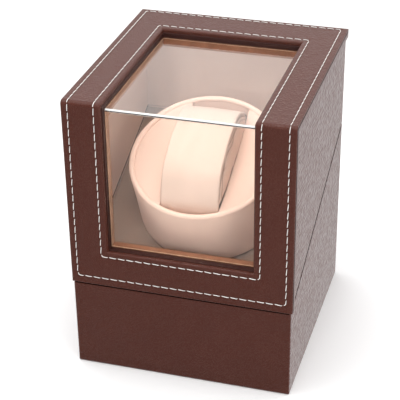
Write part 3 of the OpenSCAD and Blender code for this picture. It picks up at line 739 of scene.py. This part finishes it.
def cover_lift(x, s, loops):
    """Height of the cover over the lid's skin: its gathers and grooves, less its rounded edges."""
    edge = min(COVER_HALF - abs(x), s, COVER_END - s)
    beside = max(abs(x) - WINDOW_HALF, SILL_RUN - s, s - REAR_RUN)
    groove = 0.0
    for half, low, high in loops:
        if low - 1 * MM < s < high + 1 * MM:
            groove = max(groove, bell((abs(x) - half) / GROOVE_WIDTH))
        if abs(x) < half + 1 * MM:
            groove = max(groove, bell((s - low) / GROOVE_WIDTH), bell((s - high) / GROOVE_WIDTH))
    fade = min(1.0, edge / (1.4 * MM))
    sunk = dip(edge, EDGE_ROUND) + dip(beside, LIP_ROUND)
    return fade * (fold_wrinkles(x, s) - GROOVE_DEPTH * groove) - sunk


def cover_back(x, s):
    """The point of the cover's inner face below a place on its skin."""
    point = on_lid(x, s, 0)
    inside = FRONT + COVER_DEPTH
    height = max(min(point.z, CEILING), seam_z(inside) + SEAM_GAP)
    return Vector((point.x, max(point.y, inside), height))


def make_lid_cover():
    """The leather that wraps the lid's front and top in one piece, with its grooves and soft edges."""
    loops = stitch_loops()
    xs, ss = cover_places(loops)
    mesh = bmesh.new()
    skin = [[mesh.verts.new(on_lid(x, s, cover_lift(x, s, loops))) for x in xs] for s in ss]
    back = [[mesh.verts.new(cover_back(x, s)) for x in xs] for s in ss]

    def solid(i, j):
        if not (0 <= i < len(ss) - 1 and 0 <= j < len(xs) - 1):
            return False
        x, s = (xs[j] + xs[j + 1]) / 2, (ss[i] + ss[i + 1]) / 2
        return not (abs(x) < WINDOW_HALF and SILL_RUN < s < REAR_RUN)

    for i in range(len(ss) - 1):
        for j in range(len(xs) - 1):
            if not solid(i, j):
                continue
            mesh.faces.new((skin[i][j], skin[i][j + 1], skin[i + 1][j + 1], skin[i + 1][j]))
            mesh.faces.new((back[i][j], back[i + 1][j], back[i + 1][j + 1], back[i][j + 1]))
            borders = (
                (i - 1, j, (i, j), (i, j + 1)), (i + 1, j, (i + 1, j), (i + 1, j + 1)),
                (i, j - 1, (i, j), (i + 1, j)), (i, j + 1, (i, j + 1), (i + 1, j + 1)),
            )
            for other_i, other_j, (ai, aj), (bi, bj) in borders:
                if not solid(other_i, other_j):
                    mesh.faces.new((skin[ai][aj], skin[bi][bj], back[bi][bj], back[ai][aj]))
    bmesh.ops.remove_doubles(mesh, verts=mesh.verts, dist=0.004 * MM)
    bmesh.ops.dissolve_degenerate(mesh, edges=mesh.edges, dist=0.004 * MM)
    bmesh.ops.delete(mesh, geom=[v for v in mesh.verts if not v.link_faces], context="VERTS")
    bmesh.ops.recalc_face_normals(mesh, faces=mesh.faces)
    cover = add_object("lid_cover", mesh, COVER_LEATHER)
    shade(cover, 60)
    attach(cover, "lid")
    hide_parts("lid_panel")


def make_edge_shade_lines():
    """Near-black cords tucked under the cover's outer edge, where the leather is folded round the board: painted
    shade for the shadow line there.
    """
    places = [EDGE_ROUND, *fold_marks(), COVER_END - EDGE_ROUND]
    cords = []
    for side in (-1, 1):
        points = [on_lid(side * (COVER_HALF - 0.1 * MM), s, -EDGE_ROUND - 0.5 * MM) for s in places]
        cords.append(tube("shade_cord", points, 0.3 * MM, SHADE_BLACK))
    edge_lines = joined("cover_edge_shade_lines", cords, SHADE_BLACK)
    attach(edge_lines, "lid")


def make_window_step():
    """The inner layer of the reveal: leather wrapped round the board under the cover's soft lip, in a darker copy
    of the leather as painted shade.
    """
    step, proud, tuck, shelf = 2.3 * MM, 0.45 * MM, 0.3 * MM, 1 * MM
    front, inner_front = FRONT + step, FRONT + COVER_DEPTH
    top, inner_top = TOP - step, CEILING
    bottom, back = WINDOW_SILL - tuck, WINDOW_REAR + tuck
    side_profile = [
        (front, bottom), (front, top), (back, top),
        (back, inner_top), (inner_front, inner_top), (inner_front, bottom),
    ]
    half = WINDOW_HALF + tuck
    parts = []
    for side in (-1, 1):
        near, far = side * (WINDOW_HALF - proud), side * half
        parts.append(prism("step", side_profile, min(near, far), max(near, far), LEATHER))
    sill_top, ledge = WINDOW_SILL + proud, WINDOW_REAR - shelf
    sill = [(front, bottom), (front, sill_top), (inner_front, sill_top), (inner_front, bottom)]
    rear = [(ledge, top), (back, top), (back, inner_top), (ledge, inner_top)]
    parts += [prism("step", profile, -half, half, LEATHER) for profile in (sill, rear)]
    for part in parts:
        rounded(part, 0.25 * MM, 2)
    steps = joined("window_step", parts, LEATHER_SHADED)
    shade(steps)
    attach(steps, "lid")


# ---------- stitching

STITCH_PITCH = 4.9 * MM
STITCH_LENGTH = 4.2 * MM
STITCH_WIDTH = 0.44 * MM
STITCH_HEIGHT = 0.24 * MM
STITCH_SLANT = math.tan(math.radians(-4.5))
OUTER_INSET = 3.5 * MM
INNER_OFFSET = 3.6 * MM


def stitch_loops():
    """Half width, lower and upper s of the stitching round the lid and round the window."""
    outer = (HALF_WIDTH - OUTER_INSET, 5 * MM, lid_run(BACK) - 0.9 * MM)
    inner = (WINDOW_HALF + INNER_OFFSET, SILL_RUN - 3 * MM, REAR_RUN + 4 * MM)
    return outer, inner


class Loop:
    """A rectangle with round corners in the skin's own coordinates, walked by distance."""

    def __init__(self, half_width, low, high, radius):
        x, bottom, top = half_width - radius, low + radius, high - radius
        points = []
        for center, start in (((x, bottom), -90), ((x, top), 0), ((-x, top), 90), ((-x, bottom), 180)):
            points += arc(center, radius, start, start + 90, 6)
        self.points = points + points[:1]
        self.lengths = [math.dist(a, b) for a, b in zip(self.points, self.points[1:])]
        self.total = sum(self.lengths)

    def at(self, distance):
        """The place at a distance along the loop, and the direction there."""
        distance %= self.total
        for a, b, length in zip(self.points, self.points[1:], self.lengths):
            if distance <= length and length > 0:
                t = distance / length
                way = ((b[0] - a[0]) / length, (b[1] - a[1]) / length)
                return (a[0] + t * (b[0] - a[0]), a[1] + t * (b[1] - a[1])), way
            distance -= length
        return self.points[0], way


def add_stitch(mesh, loop, middle, draw):
    """One thread bead lying on the lid's skin, its ends pulled down into the leather."""
    rings, sides = 11, 8
    length = STITCH_LENGTH * draw.uniform(0.95, 1.02)
    slant = STITCH_SLANT + draw.uniform(-0.03, 0.03)
    rows = []
    for i in range(rings):
        t = -1 + 2 * i / (rings - 1)
        place, way = loop.at(middle + t * length / 2)
        fullness = max(0.2, 1 - abs(t) ** 8) ** 0.5
        row = []
        for k in range(sides):
            angle = 2 * math.pi * k / sides
            across = t * slant * length / 2 + 0.5 * STITCH_WIDTH * fullness * math.cos(angle)
            lift = STITCH_HEIGHT * (fullness * math.sin(angle) + 0.35 - 1.6 * abs(t) ** 12)
            x, s = place[0] - way[1] * across, place[1] + way[0] * across
            row.append(mesh.verts.new(on_lid(x, s, lift)))
        rows.append(row)
    for a, b in zip(rows, rows[1:]):
        for k in range(sides):
            mesh.faces.new((a[k], a[(k + 1) % sides], b[(k + 1) % sides], b[k]))
    mesh.faces.new(rows[0])
    mesh.faces.new(reversed(rows[-1]))


def make_stitching():
    """Two closed rows of white stitches: round the lid's rim and round the window."""
    draw = random.Random(7)
    mesh = bmesh.new()
    for half_width, low, high in stitch_loops():
        loop = Loop(half_width, low, high, 1.6 * MM)
        count = round(loop.total / STITCH_PITCH)
        for k in range(count):
            add_stitch(mesh, loop, (k + 0.5) * loop.total / count, draw)
    bmesh.ops.recalc_face_normals(mesh, faces=mesh.faces)
    stitches = add_object("lid_stitching", mesh, THREAD)
    smooth(stitches)
    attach(stitches, "lid")


# ---------- window

PANE_BEND_OUT = 0.85 * MM
PANE_BEND_IN = 0.4 * MM


def make_pane():
    """The bent acrylic sheet: one slab with a tight round bend."""
    inner_y, inner_z = PANE_FRONT + PANE_THICKNESS, PANE_TOP - PANE_THICKNESS
    profile = [(PANE_FRONT, pane_low.z)]
    profile += arc((PANE_FRONT + PANE_BEND_OUT, PANE_TOP - PANE_BEND_OUT), PANE_BEND_OUT, 180, 90, 12)
    profile += [(pane_high.y, PANE_TOP), (pane_high.y, inner_z)]
    profile += arc((inner_y + PANE_BEND_IN, inner_z - PANE_BEND_IN), PANE_BEND_IN, 90, 180, 8)
    profile += [(inner_y, pane_low.z)]
    pane = prism("window_pane", profile, pane_low.x, pane_high.x, ACRYLIC)
    shade(pane, 40)
    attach(pane, "lid")
    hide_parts("lid_window")


def make_fold_glint():
    """A thin white strip hugging the acrylic's bend: a painted glint for the bright line along the fold."""
    center = (PANE_FRONT + PANE_BEND_OUT, PANE_TOP - PANE_BEND_OUT)
    outer = arc(center, PANE_BEND_OUT + 0.03 * MM, 174, 98, 9)
    inner = arc(center, PANE_BEND_OUT - 0.12 * MM, 98, 174, 9)
    half = WINDOW_HALF - 0.6 * MM
    glint = prism("pane_fold_glint", outer + inner, -half, half, GLINT_WHITE)
    shade(glint, 40)
    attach(glint, "lid")


def make_highlight_line():
    """A thin line of light satin round the frame's edge, just behind the pane: a painted highlight along the
    pane's edge.
    """
    behind = PANE_THICKNESS + 0.35 * MM
    depth, fold_z = PANE_FRONT + behind, PANE_TOP - behind
    inside = WINDOW_HALF - 0.1 * MM
    side = [(WINDOW_REAR, fold_z), (depth, fold_z), (depth, WINDOW_SILL + 0.15 * MM)]
    route = [(-inside, y, z) for y, z in side] + [(inside, y, z) for y, z in reversed(side)]
    bead = tube("trim_highlight_line", route, 0.22 * MM, HIGHLIGHT_SATIN, closed=True)
    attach(bead, "lid")


# ---------- drum


def lathe(name, profile, steps, material):
    """A surface turned about the drum's axis from (radius, height) points; a closed profile."""
    rows = []
    for k in range(steps):
        turn = 2 * math.pi * k / steps
        rows.append([in_drum(r * math.cos(turn), r * math.sin(turn), h) for r, h in profile])
    return sheet(name, rows, material, close_columns=True, close_rows=True)


def make_drum():
    """The velvet cup, with a soft lip and a rounded foot."""
    lip, foot = 1.6 * MM, 1.4 * MM
    inner = CHEEK_RADIUS + 0.1 * MM
    floor = DRUM_BASE + 2.5 * MM
    profile = [(8 * MM, DRUM_BASE)]
    profile += arc((DRUM_RADIUS - foot, DRUM_BASE + foot), foot, -90, 0, 6)
    profile += [(DRUM_RADIUS - 0.15 * MM, DRUM_BASE + 0.5 * (DRUM_RIM - DRUM_BASE))]
    profile += arc((DRUM_RADIUS - lip, DRUM_RIM - lip), lip, 0, 180, 10)
    profile += [(inner, DRUM_RIM - 2.2 * lip), (inner, floor + 3 * MM)]
    profile += [(inner - 2 * MM, floor), (8 * MM, floor)]
    cup = lathe("drum_cup", profile, 144, DRUM_VELVET)
    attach(cup, "drum")
    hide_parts("drum_shell")


SLOT_HALF = 16.55 * MM
SLOT_DEPTH = 20.8 * MM
CHEEK_DIP = 3.6 * MM


def make_cheeks():
    """Two padded D-shaped cheeks that dip towards the slot, and the slot's own lining."""
    radius = CHEEK_RADIUS + 0.05 * MM
    top = DRUM_RIM - 0.8 * MM
    roll = 0.45 * MM
    slices, spread = 48, 16
    for side, name in ((-1, "left"), (1, "right")):
        rows = []
        for i in range(slices + 1):
            along = radius * math.sin(math.radians(-64 + 128 * i / slices))
            edge = math.sqrt(radius ** 2 - along ** 2)
            sag = CHEEK_DIP * (1 - (along / radius) ** 2)
            row = []
            for k in range(spread + 1):
                t = k / spread
                x = edge + (SLOT_HALF + roll - edge) * t
                tuck = 0.9 * MM * (1 - t) ** 6
                row.append(in_drum(side * x, along, top - sag * t ** 1.3 - tuck))
            crest = top - sag - roll
            for x, h in arc((SLOT_HALF + roll, crest), roll, 90, 180, 5)[1:]:
                row.append(in_drum(side * x, along, h))
            row.append(in_drum(side * SLOT_HALF, along, DRUM_RIM - SLOT_DEPTH))
            rows.append(row)
        cheek = sheet(f"drum_cheek_{name}", rows, CHEEK_VELVET)
        modify(cheek, "SOLIDIFY", thickness=0.9 * MM, offset=-1)
        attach(cheek, "drum")
        if side == -1:
            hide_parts("drum_insert")
    make_slot_floor(radius)


def make_slot_floor(radius):
    """The lining at the bottom of the slot, running up its two ends."""
    steps = 12
    upper, bottom, bend = DRUM_RIM - 1.6 * MM, DRUM_RIM - SLOT_DEPTH, 2 * MM
    rows = []
    for i in range(steps + 1):
        x = -SLOT_HALF + 2 * SLOT_HALF * i / steps
        end = math.sqrt(radius ** 2 - x ** 2)
        flat = [(a * (end - bend), bottom) for a in (-1, -0.5, 0, 0.5, 1)]
        places = [(-end, upper), (-end, bottom + bend), *flat, (end, bottom + bend), (end, upper)]
        rows.append([in_drum(x, along, height) for along, height in places])
    floor = sheet("slot_lining", rows, DRUM_VELVET)
    modify(floor, "SOLIDIFY", thickness=0.5 * MM)
    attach(floor, "drum")


# ---------- pillow

PILLOW_SCALE = 10
PILLOW_VOXEL = 0.011
PILLOW_FRAMES = 20
PILLOW_CAP = 0.012
PILLOW_REAR = 0.93
PILLOW_PROFILE = (
    (0, 17.4), (6, 17.0), (14.5, 15.6), (20, 14.0), (24, 11.6),
    (27.5, 8.3), (31, 4.2), (33.6, 0.6), (35, -3.5),
)


def profile_scale(along):
    """The pillow is a little shorter behind its middle than in front of it."""
    return PILLOW_HALF_L / (PILLOW_PROFILE[-1][0] * MM) * (PILLOW_REAR if along > 0 else 1)


def crown(along):
    """Height of the pillow's upper face over the rim at a place along the slot."""
    places, heights = zip(*PILLOW_PROFILE)
    return float(np.interp(abs(along) / MM / profile_scale(along), places, heights)) * MM


def pillow_shell():
    """The pillow's unstuffed shape, in the drum's own axes at PILLOW_SCALE times its size."""
    inset = 1.3 * MM
    half_l, half_w = PILLOW_HALF_L - inset, PILLOW_HALF_W - 2.5 * MM
    rear_l = PILLOW_HALF_L * PILLOW_REAR - inset
    depth = DRUM_RIM - PILLOW_BASE - inset
    slices = 48
    outline = []
    for i in range(slices + 1):
        along = -half_l + (half_l + rear_l) * i / slices
        outline.append((along, crown(along) - inset))
    outline += [(rear_l, -0.5 * depth), (rear_l - 3 * MM, -depth)]
    outline += [(-half_l + 3 * MM, -depth), (-half_l, -0.5 * depth)]
    rows = [[Vector((x, a, h)) * PILLOW_SCALE for a, h in outline] for x in (-half_w, half_w)]
    return grid_mesh(rows, close_columns=True, cap=True)


def remeshed(obj):
    """Even small faces all over, ready for the cloth simulation."""
    modify(obj, "REMESH", mode="VOXEL", voxel_size=PILLOW_VOXEL)
    apply_modifiers(obj)


def stuff(obj):
    """Blows the shell up by cloth simulation and limits how far each point moves."""
    start = np.array([v.co for v in obj.data.vertices])
    cloth = obj.modifiers.new("cloth", "CLOTH")
    cloth.settings.use_pressure = True
    cloth.settings.uniform_pressure_force = 4
    cloth.settings.effector_weights.gravity = 0
    cloth.settings.quality = 5
    scene = bpy.context.scene
    for number in range(1, PILLOW_FRAMES + 1):
        scene.frame_set(number)
    apply_modifiers(obj)
    scene.frame_set(1)
    end = np.array([v.co for v in obj.data.vertices])
    move = end - start
    length = np.linalg.norm(move, axis=1)
    capped = np.where(length > PILLOW_CAP, PILLOW_CAP / np.maximum(length, 1e-9), 1.0)
    placed = start + move * capped[:, None]
    obj.data.vertices.foreach_set("co", placed.ravel())
    obj.data.update()


# each pleat's distance to the seam, its depth and its width, in millimetres
PLEATS = ((1.3, 1.2, 0.30), (2.8, 1.0, 0.32), (4.6, 1.2, 0.38), (7.5, 0.6, 0.7))
KNOT_ALONG = -19 * MM


def drift(along):
    """How far the pleats wander from their own distance to the seam."""
    return 0.5 * MM * math.sin(along / (7 * MM)) + 0.3 * MM * math.sin(along / (2.9 * MM) + 1)


def pleat(distance, along):
    """How far the pillow's side panel is drawn in, at a distance inside the seam along its edge."""
    drawn = 0.0
    for at, size, width in PLEATS:
        strength = 0.7 + 0.3 * math.sin(along / (4.5 * MM) + at)
        drawn += size * strength * bell(((distance - drift(along)) / MM - at) / width)
    knot = bell((along - KNOT_ALONG) / (1.3 * MM)) * bell((distance - 7.5 * MM) / (1.8 * MM))
    return (drawn + 1.4 * knot) * MM


def side_panel(side, along, distance, proud=0.0):
    """A point on the pillow's side panel, at a distance inside the seam at a place along it."""
    middle = -6 * MM
    rise = crown(along) - 0.55 * MM - middle
    rest = max(0.0, 1 - distance / math.hypot(along, rise))
    tight = 0.9 * MM * (1 - min(1.0, distance / (5 * MM)))
    x = PILLOW_HALF_W - 0.02 * MM - tight - pleat(distance, along) - dip(distance, 0.8 * MM) + proud
    return in_drum(side * x, along * rest, DRUM_RIM + middle + rise * rest)


def make_pleat_shade_lines():
    """Dark cords along the pleats of the pillow's sides, and on a knot: painted shade for the dark fold lines."""
    pleat_lines = []
    alongs = [(-0.93 + 1.8 * i / 60) * PILLOW_HALF_L for i in range(61)]
    for side in (-1, 1):
        for at, size, _ in PLEATS[:3]:
            points = [side_panel(side, a, at * MM + drift(a), 0.7 * size * MM) for a in alongs]
            pleat_lines.append(tube("thread", points, 0.15 * MM, PLEAT_SHADE_VELOUR))
        knot = [side_panel(side, KNOT_ALONG, d * MM, 0.5 * MM) for d in (6.6, 7.4, 8.2)]
        pleat_lines.append(tube("thread", knot, 0.4 * MM, PLEAT_SHADE_VELOUR))
    made = joined("pillow_pleat_shade_lines", pleat_lines, PLEAT_SHADE_VELOUR)
    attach(made, "pillow")


def face_outline():
    """The face seen from the side: places along it and heights over the rim, with cut corners."""
    half = [(u * MM, w * MM) for u, w in PILLOW_PROFILE]
    half.append((half[-1][0], -13 * MM))
    route = [(-u, w) for u, w in reversed(half[1:])] + half
    route = [(u * profile_scale(u), w) for u, w in route]
    for _ in range(3):
        cut = [route[0]]
        for (u0, w0), (u1, w1) in zip(route, route[1:]):
            cut.append((0.75 * u0 + 0.25 * u1, 0.75 * w0 + 0.25 * w1))
            cut.append((0.25 * u0 + 0.75 * u1, 0.25 * w0 + 0.75 * w1))
        route = cut + [route[-1]]
    return route


def make_pillow_face():
    """The face panel in one piece over the crown, a little domed and rolled down at its two seams."""
    outline = face_outline()
    half = PILLOW_HALF_W - 0.03 * MM
    rows = []
    for i in range(1, len(outline) - 1):
        (u0, w0), (u, w), (u1, w1) = outline[i - 1], outline[i], outline[i + 1]
        length = math.hypot(u1 - u0, w1 - w0)
        up_u, up_w = (w0 - w1) / length, (u1 - u0) / length
        row = []
        for k in range(41):
            x = half * math.sin(math.radians(-90 + 180 * k / 40))
            lift = 0.5 * MM * (1 - (x / half) ** 2) - dip(half - abs(x), 1.1 * MM)
            row.append(in_drum(x, u + up_u * lift, DRUM_RIM + w + up_w * lift))
        rows.append(row)
    face = sheet("pillow_face", rows, PILLOW_VELOUR)
    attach(face, "pillow")


def make_pillow_sides():
    """The gathered side panels of the pillow, with folds that follow the seam of the front panel."""
    for side, name in ((-1, "left"), (1, "right")):
        rows = []
        for i in range(121):
            along = (-0.965 + 1.93 * i / 120) * PILLOW_HALF_L
            rows.append([side_panel(side, along, 0.25 * MM * k) for k in range(96)])
        # The side panels use the lighter copy of the velour: painted light.
        panel = sheet(f"pillow_side_{name}", rows, PILLOW_SIDE_LIT)
        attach(panel, "pillow")


def make_pillow():
    pillow = add_object("pillow", pillow_shell(), PILLOW_VELOUR)
    remeshed(pillow)
    stuff(pillow)
    for v in pillow.data.vertices:
        x, along, height = v.co / PILLOW_SCALE
        widest = PILLOW_HALF_W - 2.4 * MM
        v.co = in_drum(max(-widest, min(widest, x)), along, DRUM_RIM + height)
    pillow.data.materials.clear()
    pillow.data.materials.append(PILLOW_VELOUR)
    modify(pillow, "SMOOTH", factor=0.5, iterations=3)
    modify(pillow, "SUBSURF", levels=1, render_levels=1)
    smooth(pillow)
    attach(pillow, "pillow")
    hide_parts("watch_pillow")
    make_pillow_face()
    make_pillow_sides()
    make_pleat_shade_lines()


# ---------- stage, lights and camera

CAMERA_TARGET = Vector((0, -26.5 * MM, 93.1 * MM))
CAMERA_DISTANCE = 726.6 * MM
CAMERA_AZIMUTH = 16.76
CAMERA_ELEVATION = 29.45
CAMERA_ROLL = -0.77
CAMERA_LENS = 117.5
LIGHT_TARGET = Vector((0, 0, 0.1))
FLOOR_HALF = 12


def make_camera():
    """The photographer's view: from the right and above, with a long lens."""
    azimuth, elevation = math.radians(CAMERA_AZIMUTH), math.radians(CAMERA_ELEVATION)
    flat = math.cos(elevation)
    outward = Vector((math.sin(azimuth) * flat, -math.cos(azimuth) * flat, math.sin(elevation)))
    data = bpy.data.cameras.new("camera")
    data.lens = CAMERA_LENS
    data.sensor_width = 36
    data.clip_start = 0.05
    camera = bpy.data.objects.new("camera", data)
    camera.location = CAMERA_TARGET + outward * CAMERA_DISTANCE
    level = (-outward).to_track_quat("-Z", "Y").to_matrix()
    camera.rotation_euler = (level @ Matrix.Rotation(math.radians(CAMERA_ROLL), 3, "Z")).to_euler()
    bpy.context.scene.collection.objects.link(camera)
    bpy.context.scene.camera = camera


def add_softbox(name, place, size, power):
    """A square lamp, in metres and watts, that faces the box."""
    data = bpy.data.lights.new(name, "AREA")
    data.shape = "SQUARE"
    data.size = size
    data.energy = power
    lamp = bpy.data.objects.new(name, data)
    lamp.location = place
    lamp.rotation_euler = (LIGHT_TARGET - Vector(place)).to_track_quat("-Z", "Y").to_euler()
    bpy.context.scene.collection.objects.link(lamp)


def make_world():
    """A white tent, bright low down and behind the box, and dark on the side of the camera."""
    world = bpy.data.worlds.new("tent")
    bpy.context.scene.world = world
    world.use_nodes = True
    nodes, links = world.node_tree.nodes, world.node_tree.links
    split = nodes.new("ShaderNodeSeparateXYZ")
    links.new(nodes.new("ShaderNodeTexCoord").outputs["Generated"], split.inputs[0])
    wall, low = nodes.new("ShaderNodeMapRange"), nodes.new("ShaderNodeMapRange")
    links.new(split.outputs["Z"], low.inputs["Value"])
    links.new(split.outputs["Y"], wall.inputs["Value"])
    links.new(low.outputs["Result"], wall.inputs["To Max"])
    for ramp, numbers in ((low, (-0.3, 0.2, 1.5, 1.25)), (wall, (-0.62, -0.06, 0.10, 1.0))):
        for socket, number in zip(ramp.inputs[1:5], numbers):
            socket.default_value = number
    nodes["Background"].inputs["Color"].default_value = (1, 1, 1, 1)
    links.new(wall.outputs["Result"], nodes["Background"].inputs["Strength"])


def make_floor():
    """A pale floor, wide enough that its edge shows in no view."""
    mesh = bmesh.new()
    bmesh.ops.create_grid(mesh, x_segments=1, y_segments=1, size=FLOOR_HALF)
    white = (0.97, 0.97, 0.97)
    pale = Material("pale_floor", white, 0.9)
    pale.color(pale.mix(pale.noise(300 * MM, 1), white, (0.98, 0.98, 0.98)))
    floor = add_object("floor", mesh, pale.mat)
    floor.location.z = -0.05 * MM
    floor.visible_glossy = False


def make_lights():
    """A large soft key light above, a small fill in front and a weak one from the right."""
    add_softbox("key", (-0.05, -0.25, 1.05), 0.7, 6.2)
    add_softbox("fill", (-0.06, -1.35, 0.62), 0.22, 3.2)
    add_softbox("side", (0.80, -0.90, 0.50), 0.3, 1.6)


def set_view():
    view = bpy.context.scene.view_settings
    view.view_transform = "Standard"
    view.look = "None"
    view.exposure = 0
    view.gamma = 1


# ---------- build

make_camera()
make_world()
make_floor()
make_lights()
set_view()
finish_cad_nodes()
make_base_case()
make_seam_shade_lines()
make_lid_sides()
make_lid_cover()
make_edge_shade_lines()
make_window_step()
make_stitching()
make_pane()
make_fold_glint()
make_highlight_line()
make_drum()
make_cheeks()
make_pillow()
